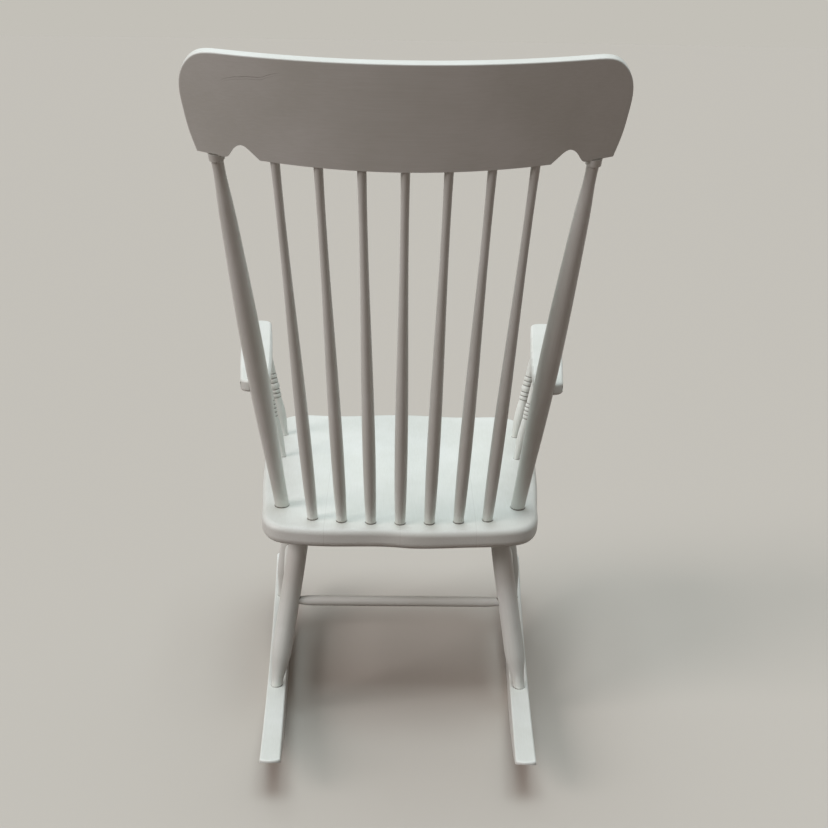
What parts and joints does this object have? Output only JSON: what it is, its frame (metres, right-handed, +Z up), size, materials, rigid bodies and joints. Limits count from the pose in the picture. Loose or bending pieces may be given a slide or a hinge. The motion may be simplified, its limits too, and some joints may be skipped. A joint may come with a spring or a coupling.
{
  "type": "rocking chair",
  "caption": "Painted wooden comb-back rocking chair: shaped crest rail, turned back spindles and posts, saddled seat, flat arms on beaded supports, and two curved rockers.",
  "frame": {"origin": "middle of the footprint box, on the floor under the rockers", "axes": "+Z up, the sitter faces -Y, the sitter's left hand is at +X"},
  "size_m": [0.629, 0.8084, 1.1519],
  "materials": {
    "painted_wood": "satin white paint on turned and sawn hardwood",
    "screw_steel": "plain steel wood screws"
  },
  "bodies": {
    "root": {"crest_rail": "painted_wood", "seat": "painted_wood", "back_spindle_1": "painted_wood", "back_spindle_2": "painted_wood", "back_spindle_3": "painted_wood", "back_spindle_4": "painted_wood", "back_spindle_5": "painted_wood", "back_spindle_6": "painted_wood", "back_spindle_7": "painted_wood", "left_back_post": "painted_wood", "right_back_post": "painted_wood", "left_arm": "painted_wood", "right_arm": "painted_wood", "left_arm_post": "painted_wood", "right_arm_post": "painted_wood", "left_arm_spindle": "painted_wood", "right_arm_spindle": "painted_wood", "left_rear_leg": "painted_wood", "right_rear_leg": "painted_wood", "left_front_leg": "painted_wood", "right_front_leg": "painted_wood", "left_side_stretcher": "painted_wood", "right_side_stretcher": "painted_wood", "left_rocker": "painted_wood", "right_rocker": "painted_wood", "rear_stretcher": "painted_wood", "front_stretcher": "painted_wood", "arm_screw_plugs": "painted_wood", "rocker_pins": "painted_wood", "arm_screws": "screw_steel"}
  },
  "joints": []
}
